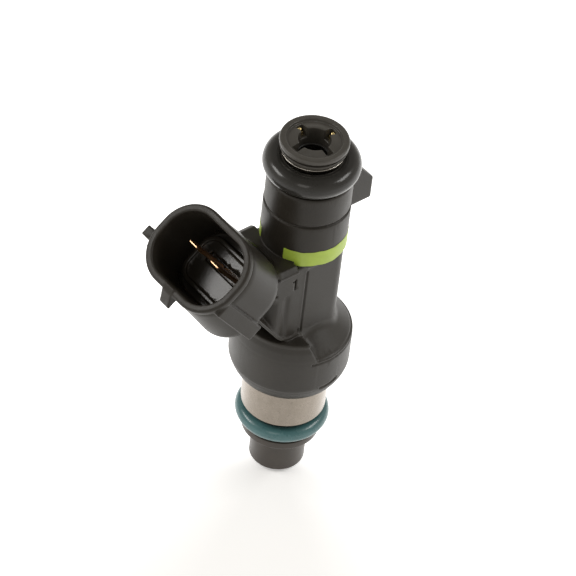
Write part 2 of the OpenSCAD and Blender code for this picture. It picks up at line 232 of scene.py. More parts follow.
def mapped(tree, value, from_low, from_high, to_low, to_high):
    """Socket that carries the value from one range to another and stops at its ends."""
    made = node(tree, "ShaderNodeMapRange", in_Value=value)
    made.inputs["From Min"].default_value = from_low
    made.inputs["From Max"].default_value = from_high
    made.inputs["To Min"].default_value = to_low
    made.inputs["To Max"].default_value = to_high
    return made.outputs["Result"]


def grained(name, dark, light, rough, grain, bump, stretch=(1, 1, 1), metallic=0.0, specular=0.5, coat=0.0,
            coat_rough=0.1, cloud=0.3, rough_spread=0.08, speck=None):
    """Material with a clouded colour, an uneven roughness and a fine grain. Sizes are in millimetres."""
    mat = bpy.data.materials.new(name)
    mat.use_nodes = True
    tree = mat.node_tree
    shader = tree.nodes["Principled BSDF"]
    shader.inputs["Metallic"].default_value = metallic
    shader.inputs["Specular IOR Level"].default_value = specular
    shader.inputs["Coat Weight"].default_value = coat
    shader.inputs["Coat Roughness"].default_value = coat_rough
    place = node(tree, "ShaderNodeTexCoord")
    size = node(tree, "ShaderNodeMapping", in_Vector=place.outputs["Object"])
    size.inputs["Scale"].default_value = [1000 * s for s in stretch]
    wide = node(tree, "ShaderNodeTexNoise", in_Vector=size.outputs[0], in_Scale=cloud, in_Detail=5.0,
                in_Roughness=0.6)
    fine = node(tree, "ShaderNodeTexNoise", in_Vector=size.outputs[0], in_Scale=1.0 / grain, in_Detail=3.0,
                in_Roughness=0.65)
    ramp = node(tree, "ShaderNodeValToRGB", in_Fac=wide.outputs["Fac"])
    ramp.color_ramp.elements[0].position, ramp.color_ramp.elements[1].position = 0.36, 0.64
    ramp.color_ramp.elements[0].color = (*dark, 1)
    ramp.color_ramp.elements[1].color = (*light, 1)
    colour = ramp.outputs["Color"]
    if speck:
        limit, tone, spot = speck
        dots = node(tree, "ShaderNodeTexNoise", in_Vector=size.outputs[0], in_Scale=1.0 / spot, in_Detail=2.0)
        mix = node(tree, "ShaderNodeMix", data_type="RGBA")
        tree.links.new(mapped(tree, dots.outputs["Fac"], limit, limit + 0.08, 0, 1), mix.inputs["Factor"])
        tree.links.new(colour, mix.inputs["A"])
        mix.inputs["B"].default_value = (*tone, 1)
        colour = mix.outputs["Result"]
    tree.links.new(colour, shader.inputs["Base Color"])
    smoothest = max(0.02, rough - rough_spread)
    gloss = mapped(tree, wide.outputs["Fac"], 0.3, 0.7, smoothest, rough + rough_spread)
    tree.links.new(gloss, shader.inputs["Roughness"])
    relief = node(tree, "ShaderNodeBump", in_Height=fine.outputs["Fac"])
    relief.inputs["Strength"].default_value = 1.0
    relief.inputs["Distance"].default_value = bump * MM
    tree.links.new(relief.outputs["Normal"], shader.inputs["Normal"])
    return mat


def coat_with(made, mat):
    made.data.materials.clear()
    made.data.materials.append(mat)
    return made


def thin_out(made, most):
    """Collapses flat areas until the piece has at most that many triangles."""
    tris = sum(len(p.vertices) - 2 for p in made.data.polygons)
    if tris > most:
        mod = made.modifiers.new("thin", "DECIMATE")
        mod.ratio = most / tris
        dg = bpy.context.evaluated_depsgraph_get()
        mesh = bpy.data.meshes.new_from_object(made.evaluated_get(dg))
        made.modifiers.remove(mod)
        old, made.data = made.data, mesh
        bpy.data.meshes.remove(old)
    return made


TILT = math.radians(52)
MOUTH = (-19.6, 51.4)
OUT_X, OUT_Z = -math.cos(TILT), math.sin(TILT)
UP_X, UP_Z = math.sin(TILT), math.cos(TILT)


def side_view(out, up):
    """A point of the side view, from its place along and across the shroud."""
    return (MOUTH[0] + out * OUT_X + up * UP_X, MOUTH[1] + out * OUT_Z + up * UP_Z)


FLAT = 5.1  # half the width across the neck's flats and the web
SPLIT = -2.95  # where the two halves of the mould meet


def bulge_round_coil(x, y, z, rho):
    """Bulge with a rounded foot and a sloped shoulder, and a level deck on the connector's side."""
    bulge = profile_distance(
        [(0, 19.3), (7.45, 19.3), (7.7, 19.38), (7.95, 19.62), (8.45, 20.5), (8.8, 21.35), (8.97, 22.0),
         (9.0, 22.5), (9.0, 27.6), (8.93, 27.82), (8.75, 27.98), (5.2, 31.1), (0, 31.1)], rho, z)
    # crescent nick low on the wall
    angle = np.degrees(np.arctan2(y, x)) % 360
    nick = np.hypot(rho - 8.95, (z - 22.0 - 0.0012 * (angle - 262) ** 2) * 0.7) - 0.2
    nick = np.maximum(nick, np.abs(angle - 272.5) - 10.5)
    bulge = soft_max(bulge, -nick, 0.06)
    # level deck on the connector's side
    deck = profile_distance([(0, 22), (9.0, 22), (9.0, 28.3), (8.84, 29.7), (8.62, 30.35), (8.56, 30.5),
                             (8.56, 31.0), (8.4, 31.2), (0, 31.2)], rho, z)
    deck = soft_max(deck, (x - SPLIT - 0.4 * np.clip(30.3 - z, 0, 3)) * 0.93, 0.5)
    body = soft_min(bulge, deck, 0.1 + 1.1 * np.clip((8.7 - rho) / 1.6, 0, 1))
    # two fine lines round the shoulder
    for r, h, start in ((8.76, 28.14, -1.9), (9.05, 27.44, SPLIT)):
        line = np.minimum(0.2 - np.hypot(rho - r, z - h), x - start)
        body = soft_max(body, line, 0.06)
    return body


def add_neck_and_top(body, x, y, z, rho):
    """Neck with two flats, upper body and lug."""
    neck = soft_max(rho - 6.05, slab(z, 26, 45.8), 0.2)
    neck = soft_max(neck, np.abs(y) - FLAT, 0.35)
    body = soft_min(body, neck, 0.7)
    # upper body and its split line
    upper = profile_distance(
        [(0, 44.6), (5.55, 44.6), (6.35, 45.4), (6.35, 52.62), (6.3, 52.7), (6.03, 52.76), (6.0, 52.9),
         (6.02, 53.0), (6.2, 53.1), (6.27, 53.25), (6.28, 57.88), (6.12, 58.1), (0, 58.12)],
        rho, z)
    flat_cut = (np.abs(y) - FLAT - (z - 44.5) * 0.92) * 0.736
    upper = np.where(x > -2.6, soft_max(upper, flat_cut, 0.25), upper)
    body = soft_min(body, upper, 0.5)
    # lug behind the body
    lug = profile_distance(
        [(4.5, 48.15), (11.2, 48.15), (11.4, 48.35), (11.4, 52.1), (9.1, 54.8), (5.9, 57.7), (4.5, 57.7)],
        x, z)
    lug = soft_max(lug, np.abs(y) - 1.1, 0.3)
    body = soft_min(body, lug, 0.5)
    return body


def add_web(body, x, y, z, v):
    """Web between the neck and the shroud, with its marks."""
    side = profile_distance(
        [(-15.9, 44.38), (-7.2, 32.34), (-6.5, 31.7), (-5.6, 31.3), (-4.6, 31.1), (-2.9, 31.1), (-2.9, 45.2),
         (-8.2, 45.2), side_view(-9, 3)], x, z)
    web = soft_max(side, np.abs(y) - FLAT, 0.3)
    # hollow in each side of the web, with a round pillar and a bead along its edge
    edge = profile_distance(
        [(-15.9, 45.1), (-15.9, 44.75), (-7.0, 32.55), (-6.4, 31.95), (-5.5, 31.6), (-4.6, 31.5),
         (-3.2, 31.75), (-3.2, 45.1)], x, z)
    into = np.clip(-edge / 0.6, 0, 1) * np.clip((40.9 - z) / 1.0, 0, 1)
    slope = np.clip((-7.7 - x) / 2.0, 0, 1)
    trough = np.clip(1 - np.abs(x + 6.35) / 0.85, 0, 1)
    depth = (1.2 * slope * slope * (3 - 2 * slope) + 0.2 * trough * trough * (3 - 2 * trough)) * into
    web = np.maximum(web, (np.abs(y) - FLAT + depth) * 0.85)
    bead = np.hypot(edge, np.abs(y) - FLAT + 0.02) - 0.24
    bead = np.maximum(bead, z - 32.9 - 1.37 * np.maximum(-x - 7.0, 0))
    bead = np.maximum(bead, x + 3.3)
    web = soft_min(web, bead, 0.08)
    body = soft_min(body, web, 0.3)
    # bevelled bar over the web, with a fine groove under it
    bar = box3(x, y, z, (-8.5, -5.7, 45.15), (-5.1, 5.7, 46.1)) - 0.03
    bar = soft_max(bar, (np.abs(y) - FLAT) * 0.54 + (z - 45.98) * 0.84, 0.08)
    body = soft_min(body, bar, 0.08)
    under = np.hypot(z - 44.92, np.abs(y) - FLAT - 0.02) - 0.18
    body = soft_max(body, -np.maximum(under, slab(x, -8.6, -5.1)), 0.06)
    # thick root of the shroud, and the split line down the web
    gusset = soft_max(round_rect(y, z - 41, 2.5, 6.7, 1.1), slab(x, -13, -4), 0.3)
    gusset = soft_max(gusset, v - 5.4, 0.4)
    body = soft_min(body, gusset, 1.1)
    seam = soft_max(np.abs(x - SPLIT) - 0.2, slab(z, 31.6, 44.0), 0.05)
    seam = soft_max(seam, 4.88 - np.abs(y), 0.05)
    body = soft_max(body, -seam, 0.06)
    # cavity number and an ejector mark
    one = np.minimum(box3(x, y, z, (-5.08, -5.3, 41.3), (-4.83, -4.72, 43.4)),
                     box3(x, y, z, (-5.5, -5.3, 42.9), (-4.83, -4.72, 43.12)))
    body = soft_max(body, -one, 0.05)
    body = soft_max(body, 0.24 - np.hypot(np.hypot(x + 8.31, z - 41.6), y + FLAT), 0.06)
    return body


def add_shroud(body, y, v, w):
    """Shroud with a rounded rim and a shallow groove behind it."""
    outer = round_rect(y, v, 8.45, 6.25, 5.5)
    drop = 0.055 * np.clip(-w - 1.0, 0, 11)
    shroud = soft_max(round_rect(y, v + drop, 8.45, 6.25 + drop, 5.5), slab(w, -11.2, -0.4), 2.2)
    rim = np.hypot(np.maximum(np.abs(outer + 0.42) - 0.28, 0), np.maximum(np.abs(w + 0.62) - 0.26, 0)) - 0.36
    shroud = soft_min(shroud, rim, 0.12)
    body = soft_min(body, shroud, 1.0)
    # side rails, keying tab and latch nib
    rail = box3(y, v, w, (-8.25, -3.75, -11.4), (8.25, -1.75, -1.3))
    body = soft_min(body, rail - 0.28, 0.12)
    slit = np.hypot(np.abs(y) - 8.5, v + 1.38) - 0.25
    body = soft_max(body, -np.maximum(slit, slab(w, -10.9, -1.2)), 0.06)
    tab = box3(y, v, w, (7.4, -3.1, -3.6), (10.45, -1.6, -1.15))
    body = soft_min(body, tab - 0.06, 0.15)
    nib = profile_distance([(0.2, -5.5), (-2.05, -5.5), (-2.05, -8.15), (-1.75, -8.15), (-0.15, -6.55)], w, v)
    nib = soft_max(nib, np.abs(y - 0.05) - 0.97, 0.12)
    body = soft_min(body, nib - 0.03, 0.15)
    return body


def cut_socket(body, y, v, w):
    """Socket: a raised floor with a ridge round it, and a well round the blades."""
    inner = round_rect(y, v, 7.5, 5.3, 4.55)
    socket = soft_max(inner, -(w + 9.5), 0.4)
    floor = soft_max(round_rect(y, v + 0.12, 6.9, 4.05, 2.6), w + 8.85, 0.15)
    ridge = soft_max(np.abs(round_rect(y, v + 0.12, 6.54, 3.69, 2.24)) - 0.36, w + 8.5, 0.15)
    socket = soft_max(socket, -np.minimum(floor, ridge), 0.12)
    well = soft_max(round_rect(y, v - 0.75, 4.6, 0.85, 0.3), np.abs(w + 9.1) - 0.4, 0.1)
    socket = np.minimum(socket, well)
    return soft_max(body, -socket, 0.3)


def moulding(x, y, z):
    """Signed distance to the black moulding, negative inside."""
    rho = np.hypot(x, y)
    # places along the shroud, out of its mouth, and across it
    w = (x - MOUTH[0]) * OUT_X + (z - MOUTH[1]) * OUT_Z
    v = (x - MOUTH[0]) * UP_X + (z - MOUTH[1]) * UP_Z
    body = bulge_round_coil(x, y, z, rho)
    body = add_neck_and_top(body, x, y, z, rho)
    body = add_web(body, x, y, z, v)
    body = add_shroud(body, y, v, w)
    body = cut_socket(body, y, v, w)
    # bores for the inlet tube and the coil shell
    body = soft_max(body, -np.maximum(rho - 3.8, -(z - 18)), 0.05)
    body = soft_max(body, -np.maximum(rho - 6.4, slab(z, 18, 29.0)), 0.05)
    return body


body = carved("moulded_body", moulding, (-26.5, -9.8, 18.8), (12.2, 11.4, 58.6), 0.17)
thin_out(body, 190000)
nylon = grained("black_nylon", (0.0195, 0.0165, 0.0125), (0.0245, 0.021, 0.016),
                rough=0.42, grain=0.16, bump=0.012, specular=0.45, cloud=0.22, rough_spread=0.05)
coat_with(body, nylon)
# the floor of the socket is polished
tree = nylon.node_tree
place = node(tree, "ShaderNodeTexCoord")
reach = node(tree, "ShaderNodeVectorMath", operation="DOT_PRODUCT", in_0=place.outputs["Object"])
reach.inputs[1].default_value = (OUT_X, 0, OUT_Z)
rim_reach = (MOUTH[0] * OUT_X + MOUTH[1] * OUT_Z) * MM
deep = mapped(tree, reach.outputs["Value"], rim_reach - 8.2 * MM, rim_reach - 8.0 * MM, 0.15, 0.42)
near = node(tree, "ShaderNodeVectorMath", operation="DISTANCE", in_0=place.outputs["Object"])
near.inputs[1].default_value = [c * MM for c in (MOUTH[0] - 9 * OUT_X, 0, MOUTH[1] - 9 * OUT_Z)]
far = mapped(tree, near.outputs["Value"], 7.3 * MM, 7.5 * MM, 0.0, 0.3)
smooth = node(tree, "ShaderNodeMath", operation="ADD", in_0=deep, in_1=far)
shader = tree.nodes["Principled BSDF"]
grain_rough = shader.inputs["Roughness"].links[0].from_socket
polish = node(tree, "ShaderNodeMath", operation="MINIMUM", in_0=smooth.outputs["Value"], in_1=grain_rough)
tree.links.new(polish.outputs["Value"], shader.inputs["Roughness"])
# the specular level is lower above the bulge; at the bulge's foot it is turned down as painted shade, for the
# shadowed floor round the tip that the foot reflects
height = node(tree, "ShaderNodeSeparateXYZ", in_Vector=place.outputs["Object"])
above = mapped(tree, height.outputs["Z"], 30 * MM, 37 * MM, 0.45, 0.31)
# painted shade: specular dimmed towards the foot of the bulge
foot = mapped(tree, height.outputs["Z"], 19.3 * MM, 22.5 * MM, 0.12, 0.45)
shine_with_painted_shade = node(tree, "ShaderNodeMath", operation="MINIMUM", in_0=above, in_1=foot)
tree.links.new(shine_with_painted_shade.outputs["Value"], shader.inputs["Specular IOR Level"])
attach(body, "injector")
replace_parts(body, "overmould")

# ---------------------------------------------------------------------------
# Colour band. Lime marking paint printed round the upper body, just above
# the neck. It is a skin a few hundredths thick and stops at the web.
# ---------------------------------------------------------------------------


def turned(name, profile, segments=192, start=0.0, sweep=360.0, wobble=None):
    """Closed piece turned from a profile of [radius, height] points, going round it once."""
    full = sweep >= 360
    profile = np.asarray(profile, float)
    count = segments if full else segments + 1
    angles = np.radians(start + sweep * np.arange(count) / segments)
    verts, index = [], {}
    for i, angle in enumerate(angles):
        for j, (r, z) in enumerate(profile):
            if r < 1e-6:
                index[i, j] = index.get((0, j), len(verts)) if i else len(verts)
                if i:
                    continue
                verts.append((0, 0, z))
            else:
                index[i, j] = len(verts)
                extra = wobble(angle, r, z) if wobble else 0.0
                verts.append((r * math.cos(angle), r * math.sin(angle), z + extra))
    faces = []
    for i in range(segments):
        k = (i + 1) % count
        for j in range(len(profile)):
            m = (j + 1) % len(profile)
            ring = [index[i, j], index[k, j], index[k, m], index[i, m]]
            face = [v for n_, v in enumerate(ring) if v not in ring[:n_]]
            if len(face) > 2:
                faces.append(face)
    if not full:
        faces.append([index[0, j] for j in range(len(profile))][::-1])
        faces.append([index[segments, j] for j in range(len(profile))])
    return face_out(object_from(name, verts, faces))


def rounded_path(points, radii, steps=5):
    """Profile whose corners are rounded. A radius of 0 keeps the corner sharp."""
    pts = np.asarray(points, float)
    out = []
    for i, p in enumerate(pts):
        r = radii[i] if hasattr(radii, "__len__") else radii
        if r <= 0:
            out.append(p)
            continue
        a, b = pts[i - 1] - p, pts[(i + 1) % len(pts)] - p
        la, lb = np.linalg.norm(a), np.linalg.norm(b)
        a, b = a / la, b / lb
        half = math.acos(np.clip(a @ b, -1, 1)) / 2
        cut = min(r / math.tan(half), 0.45 * la, 0.45 * lb)
        r = cut * math.tan(half)
        centre = p + (a + b) / np.linalg.norm(a + b) * r / math.sin(half)
        s, t = p + a * cut - centre, p + b * cut - centre
        for k in range(steps + 1):
            f = k / steps
            d = s * (1 - f) + t * f
            out.append(centre + d / np.linalg.norm(d) * r)
    return out


def keep_sharp(made, angle=35):
    """Smooth faces that break at edges steeper than the angle."""
    made.data.set_sharp_from_angle(angle=math.radians(angle))
    return made


band = turned("colour_band_paint",
              [(6.3, 45.47), (6.385, 45.47), (6.395, 45.6), (6.395, 48.0), (6.385, 48.1), (6.3, 48.1)],
              segments=260, start=-156, sweep=312,
              wobble=lambda a, r, z: 0.05 * math.sin(9 * a) + 0.03 * math.sin(23 * a + 1))
keep_sharp(band)
lime_paint = grained("lime_paint", (0.335, 0.455, 0.048), (0.375, 0.505, 0.06),
                     rough=0.42, grain=0.2, bump=0.006, cloud=0.5)
coat_with(band, lime_paint)
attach(band, "injector")
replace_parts(band, "colour_band")

# ---------------------------------------------------------------------------
# Upper sealing ring. Black oiled rubber with a round section and a fine
# moulding line at its widest place. It is stretched over the inlet tube.
# ---------------------------------------------------------------------------


def seal_ring(name, outer, cord, height, around=64):
    """Ring of round section with a fine moulding line round its outside."""
    r = cord / 2
    middle = outer / 2 - r
    points = []
    for i in range(around):
        t = 2 * math.pi * i / around
        bead = 0.018 * math.exp(-((math.sin(t / 2) * 2 * r / 0.05) ** 2))
        points.append((middle + (r + bead) * math.cos(t), height + (r + bead) * math.sin(t)))
    return turned(name, points, segments=300)


ring = seal_ring("upper_seal_ring", outer=14.2, cord=3.46, height=60.04)
black_rubber = grained("black_rubber", (0.023, 0.0218, 0.0195), (0.0285, 0.0272, 0.0245),
                       rough=0.3, grain=0.5, bump=0.006, specular=0.12, coat=0.5, coat_rough=0.15,
                       rough_spread=0.05)
coat_with(ring, black_rubber)
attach(ring, "injector")
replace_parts(ring, "upper_o_ring")

# ---------------------------------------------------------------------------
# Lower sealing ring. Teal fluoro-rubber with a thinner section, seated in
# the groove between the nozzle cap and the coil shell.
# ---------------------------------------------------------------------------

ring = seal_ring("lower_seal_ring", outer=14.2, cord=2.4, height=9.8)
teal_rubber = grained("teal_rubber", (0.050, 0.134, 0.143), (0.064, 0.159, 0.168),
                      rough=0.28, grain=0.15, bump=0.006, specular=0.45, coat=0.3, coat_rough=0.14,
                      rough_spread=0.05)
coat_with(ring, teal_rubber)
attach(ring, "injector")
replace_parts(ring, "lower_o_ring")

# ---------------------------------------------------------------------------
# Nozzle cap. Brown-black nylon cap snapped over the end of the valve body.
# Its flange holds the lower ring, and its open end lets the spray out.
# ---------------------------------------------------------------------------

cap = turned("nozzle_cap_moulding", rounded_path(
    [(2.2, 0.55), (2.65, 0.02), (4.2, 0.0), (4.2, 6.25), (5.95, 6.45), (6.0, 7.8), (5.5, 7.86), (5.5, 8.28),
     (4.72, 8.3), (4.72, 6.4), (3.32, 6.4), (3.32, 1.6), (2.2, 1.6)],
    [0.1, 0.15, 0.28, 0.3, 0.3, 0.12, 0.05, 0.1, 0.05, 0, 0.05, 0.05, 0.05]))
keep_sharp(cap, 40)
brown_nylon = grained("brown_nylon", (0.037, 0.029, 0.0225), (0.048, 0.038, 0.0295),
                      rough=0.36, grain=0.18, bump=0.010, specular=0.45, cloud=0.3, rough_spread=0.06)
coat_with(cap, brown_nylon)
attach(cap, "injector")
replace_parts(cap, "nozzle_cap")
coat_with(nodes["lower_spacer"], brown_nylon)

# ---------------------------------------------------------------------------
# Coil shell. Drawn stainless cup round the coil, with a satin grain and small
# specks in its skin. The edge of its foot is broken over the lower ring.
# ---------------------------------------------------------------------------

shell = turned("coil_shell_cup", rounded_path(
    [(4.72, 11.93), (6.25, 11.93), (6.4, 12.08), (6.4, 28.0), (5.8, 28.0), (5.8, 19.3), (4.72, 19.3)],
    [0, 0.05, 0.1, 0.05, 0.05, 0.1, 0]))
keep_sharp(shell, 40)
steel_skin = grained("drawn_stainless", (0.295, 0.258, 0.218), (0.33, 0.29, 0.247),
                     rough=0.25, grain=0.10, bump=0.005, stretch=(0.9, 0.9, 0.8), metallic=1.0, cloud=0.9,
                     rough_spread=0.07, speck=(0.60, (0.27, 0.238, 0.2), 0.3))
coat_with(shell, steel_skin)
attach(shell, "injector")
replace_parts(shell, "coil_shell")

# ---------------------------------------------------------------------------
# Inlet tube. Stainless tube up the middle of the body. Its end is rolled out
# into a thin flange that keeps the upper ring on.
# ---------------------------------------------------------------------------

tube = turned("inlet_tube_rolled", rounded_path(
    [(3.2, 38.0), (3.78, 38.0), (3.78, 61.9), (4.1, 62.15), (4.62, 62.17), (4.64, 62.42), (4.55, 62.46),
     (3.2, 62.46)],
    [0, 0, 0.3, 0.3, 0.1, 0.1, 0.04, 0.04]))
keep_sharp(tube, 40)
rolled = grained("rolled_stainless", (0.50, 0.47, 0.42), (0.62, 0.585, 0.53),
                 rough=0.24, grain=0.12, bump=0.004, stretch=(0.6, 0.6, 2.0), metallic=1.0, cloud=0.4,
                 rough_spread=0.05)
coat_with(tube, rolled)
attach(tube, "injector")
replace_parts(tube, "inlet_tube")

# ---------------------------------------------------------------------------
# Filter cap. Black nylon top of the inlet filter: a round lip, a shallow dish, and
# four notches where the moulding is tied to the brass collar under it.
# ---------------------------------------------------------------------------


def cap_shape(x, y, z):
    """Signed distance to the cap: a turned ring with four notches."""
    rho = np.hypot(x, y)
    solid = profile_distance(
        [(2.35, 61.3), (2.87, 61.3), (2.87, 61.62), (3.18, 61.62), (3.18, 62.48), (4.52, 62.48),
         (4.56, 62.76), (4.82, 62.82), (4.86, 63.26), (4.45, 63.32), (4.45, 63.7), (4.96, 63.72),
         (5.03, 63.82), (5.03, 64.2),
         (4.95, 64.4), (4.75, 64.5), (4.22, 64.5), (4.08, 64.44), (3.98, 64.14),
         (3.8, 64.1), (2.6, 64.36), (2.42, 64.34), (2.35, 64.2)], rho, z)
    for along, across in ((x, y), (y, x)):
        notch = soft_max(np.abs(across) - 0.58, np.abs(along) - 3.62, 0.15)
        notch = soft_max(notch, slab(z, 62.62, 66.0), 0.1)
        solid = soft_max(solid, -notch, 0.12)
    return solid


top = carved("inlet_filter_cap", cap_shape, (-5.3, -5.3, 61.0), (5.3, 5.3, 64.9),
             0.075)
thin_out(top, 120000)
cap_nylon = grained("cap_nylon", (0.046, 0.042, 0.035), (0.057, 0.052, 0.044),
                    rough=0.36, grain=0.12, bump=0.006, specular=0.5, rough_spread=0.05)
coat_with(top, cap_nylon)
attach(top, "injector")
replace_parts(top, "filter_cap")

# ---------------------------------------------------------------------------
# Filter collar. Bright turned brass ring pressed into the inlet tube. It
# shows in the notches of the cap.
# ---------------------------------------------------------------------------


def collar_shape(x, y, z):
    """Signed distance to the collar: a ring, four tabs, and a rounded stub on two of them."""
    rho = np.hypot(x, y)
    solid = soft_max(slab(rho, 2.9, 3.19), slab(z, 57.6, 61.6), 0.06)
    for along, across in ((x, y), (y, x)):
        tab = soft_max(soft_max(slab(rho, 2.95, 3.6), slab(z, 61.0, 63.2), 0.12), np.abs(across) - 0.5, 0.12)
        tab = np.maximum(tab, np.where(z < 62.6, rho - 3.19, 3.06 - rho))
        dome = np.hypot(np.hypot(along - 3.36, across), z - 63.5) - 0.36
        solid = np.minimum(solid, np.minimum(tab, dome))
    return solid


collar = carved("filter_collar_brass", collar_shape, (-3.8, -3.8, 57.3), (3.8, 3.8, 64.0),
                0.08)
brass = grained("bright_brass", (0.80, 0.62, 0.28), (0.88, 0.70, 0.34),
                rough=0.2, grain=0.1, bump=0.004, stretch=(0.5, 0.5, 2), metallic=1.0, rough_spread=0.05)
coat_with(collar, brass)
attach(collar, "injector")
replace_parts(collar, "filter_collar")

# ---------------------------------------------------------------------------
# Filter screen. Basket of fine woven nylon on four thin ribs, hanging from
# the collar into the inlet tube. It keeps dirt out of the needle's seat.
# ---------------------------------------------------------------------------

parts_v, parts_f = [], []


def add_bar(path, radius, sides=6):
    """Adds a round bar along a path to parts_v and parts_f."""
    path = np.asarray(path, float)
    base = sum(len(v) for v in parts_v)
    ahead = np.gradient(path, axis=0)
    ahead /= np.linalg.norm(ahead, axis=1, keepdims=True)
    ref = np.where(np.abs(ahead[:, 2:3]) > 0.9, [[1.0, 0, 0]], [[0, 0, 1.0]])
    s = np.cross(ahead, ref)
    s /= np.linalg.norm(s, axis=1, keepdims=True)
    t = np.cross(ahead, s)
    a = np.linspace(0, 2 * math.pi, sides, endpoint=False)
    across = np.cos(a)[None, :, None] * s[:, None] + np.sin(a)[None, :, None] * t[:, None]
    parts_v.append((path[:, None] + radius * across).reshape(-1, 3))
    for i in range(len(path) - 1):
        for k in range(sides):
            m = (k + 1) % sides
            parts_f.append([base + i * sides + k, base + i * sides + m, base + (i + 1) * sides + m,
                            base + (i + 1) * sides + k])
    parts_f.append([base + k for k in range(sides)][::-1])
    parts_f.append([base + (len(path) - 1) * sides + k for k in range(sides)])


def basket_r(z):
    """Radius of the basket, which widens towards the collar."""
    return 2.0 + 0.4 * (z - 48.6) / 12.4


for i in range(44):
    a0 = 2 * math.pi * i / 44
    for way in (-1, 1):
        zs = np.linspace(48.8, 61.2, 60)
        turn = a0 + way * (zs - 48.8) * 0.22
        swell = 0.035 * way * np.cos((zs - 48.8) * 0.22 * 44)
        r = basket_r(zs) + swell
        add_bar(np.stack([r * np.cos(turn), r * np.sin(turn), zs], 1), 0.045, 4)
for i in range(4):
    a0 = math.radians(45 + 90 * i)
    zs = np.linspace(48.7, 61.3, 30)
    r = basket_r(zs) - 0.05
    add_bar(np.stack([r * math.cos(a0), r * math.sin(a0), zs], 1), 0.2, 10)
    zs = np.linspace(57.8, 60.8, 8)
    add_bar(np.stack([0 * zs + 2.62 * math.cos(a0), 0 * zs + 2.62 * math.sin(a0), zs], 1), 0.26, 10)
for z, rr in ((48.75, 0.22), (61.2, 0.2)):
    t = np.linspace(0, 2 * math.pi, 97)
    r = basket_r(z) - 0.05
    add_bar(np.stack([r * np.cos(t), r * np.sin(t), 0 * t + z], 1), rr, 10)
base = sum(len(v) for v in parts_v)
# closed foot of the basket
round_it = np.linspace(0, 2 * math.pi, 49)[:-1]
foot = [(1.98 * math.cos(t), 1.98 * math.sin(t), z) for z in (48.6, 48.85) for t in round_it]
parts_v.append(np.array(foot))
parts_f.append([base + k for k in range(48)][::-1])
parts_f.append([base + 48 + k for k in range(48)])
parts_f.extend([base + k, base + (k + 1) % 48, base + 48 + (k + 1) % 48, base + 48 + k] for k in range(48))
screen = object_from("filter_screen_mesh", np.concatenate(parts_v), parts_f)
keep_sharp(screen, 50)
screen_nylon = grained("screen_nylon", (0.016, 0.015, 0.013), (0.022, 0.021, 0.018),
                       rough=0.5, grain=0.1, bump=0.004)
coat_with(screen, screen_nylon)
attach(screen, "injector")
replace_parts(screen, "filter_screen")

# ---------------------------------------------------------------------------
# Terminals. Two stamped bronze blades with chamfered tips, held in the floor
# of the socket. Each one's tail runs through the moulding to the coil.
# ---------------------------------------------------------------------------

bronze = grained("plated_bronze", (0.54, 0.33, 0.18), (0.64, 0.41, 0.24),
                 rough=0.32, grain=0.1, bump=0.004, metallic=1.0, rough_spread=0.05)


def in_shroud(across, up, out):
    """Point in the object's frame, from its place in the shroud's frame."""
    x, z = side_view(out, up)
    return (x, across, z)


def stamped(name, side):
    """Blade, shoulder and tail of one terminal, as stations of a rectangular section."""
    # each station is a place along the blade, half its width and half its thickness
    stations = [
        (-0.65, 0.78, 0.06), (-0.70, 0.84, 0.09), (-1.7, 0.93, 0.32), (-9.0, 0.93, 0.32), (-9.3, 0.93, 0.32),
        (-9.32, 0.45, 0.32), (-23.3, 0.45, 0.32)]
    verts, faces = [], []
    middle = side * 2.45
    for out, half_w, half_t in stations:
        c = min(0.05, half_t * 0.4)
        loop = [(-half_w + c, -half_t), (half_w - c, -half_t), (half_w, -half_t + c), (half_w, half_t - c),
                (half_w - c, half_t), (-half_w + c, half_t), (-half_w, half_t - c), (-half_w, -half_t + c)]
        verts += [in_shroud(middle + u, 0.93 + v, out) for u, v in loop]
    n = len(stations)
    for i in range(n - 1):
        for k in range(8):
            m = (k + 1) % 8
            faces.append([8 * i + k, 8 * i + m, 8 * i + 8 + m, 8 * i + 8 + k])
    faces.append(list(range(8))[::-1])
    faces.append([8 * (n - 1) + k for k in range(8)])
    base = len(verts)
    corners = ((-4.9, middle - 0.45), (-4.2, middle - 0.45), (-4.2, middle + 0.45), (-4.9, middle + 0.45))
    for z in (27.9, 33.9):
        verts += [(x, y, z) for x, y in corners]
    faces += [[base, base + 3, base + 2, base + 1], [base + 4, base + 5, base + 6, base + 7]]
    faces += [[base + k, base + (k + 1) % 4, base + 4 + (k + 1) % 4, base + 4 + k] for k in range(4)]
    made = face_out(object_from(name, verts, faces, smooth=False))
    coat_with(made, bronze)
    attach(made, "injector")
    return made


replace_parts(stamped("terminal_blade_left", -1), "terminal_left")
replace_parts(stamped("terminal_blade_right", 1), "terminal_right")

# ---------------------------------------------------------------------------
# Coil. Enamelled copper wire wound in layers on a tan nylon spool, with a
# rubber seal at its foot. It pulls the armature up when current flows.
# ---------------------------------------------------------------------------

parts_v, parts_f = [], []
wire = 0.15
turns = int((27.0 - 21.3) / (2 * wire))
t = np.linspace(0, 2 * math.pi * turns, turns * 40)
for layer, r in enumerate((4.52, 4.80, 5.08, 5.34)):
    z = 21.3 + wire + (27.0 - 21.3 - 2 * wire) * t / t[-1]
    if layer % 2:
        z = z[::-1]
    add_bar(np.stack([r * np.cos(t), r * np.sin(t), z], 1), wire, 5)
coil = object_from("coil_wire", np.concatenate(parts_v), parts_f)
copper = grained("enamelled_copper", (0.50, 0.17, 0.07), (0.62, 0.24, 0.10),
                 rough=0.25, grain=0.3, bump=0.004, metallic=0.9, coat=0.4, coat_rough=0.1)
coat_with(coil, copper)
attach(coil, "injector")
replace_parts(coil, "coil_winding")
spool_nylon = grained("spool_nylon", (0.50, 0.44, 0.31), (0.60, 0.53, 0.38),
                      rough=0.45, grain=0.15, bump=0.008)
coat_with(nodes["coil_bobbin"], spool_nylon)
brown_rubber = grained("brown_rubber", (0.035, 0.022, 0.016), (0.05, 0.032, 0.022),
                       rough=0.6, grain=0.2, bump=0.02)
coat_with(nodes["coil_seal"], brown_rubber)

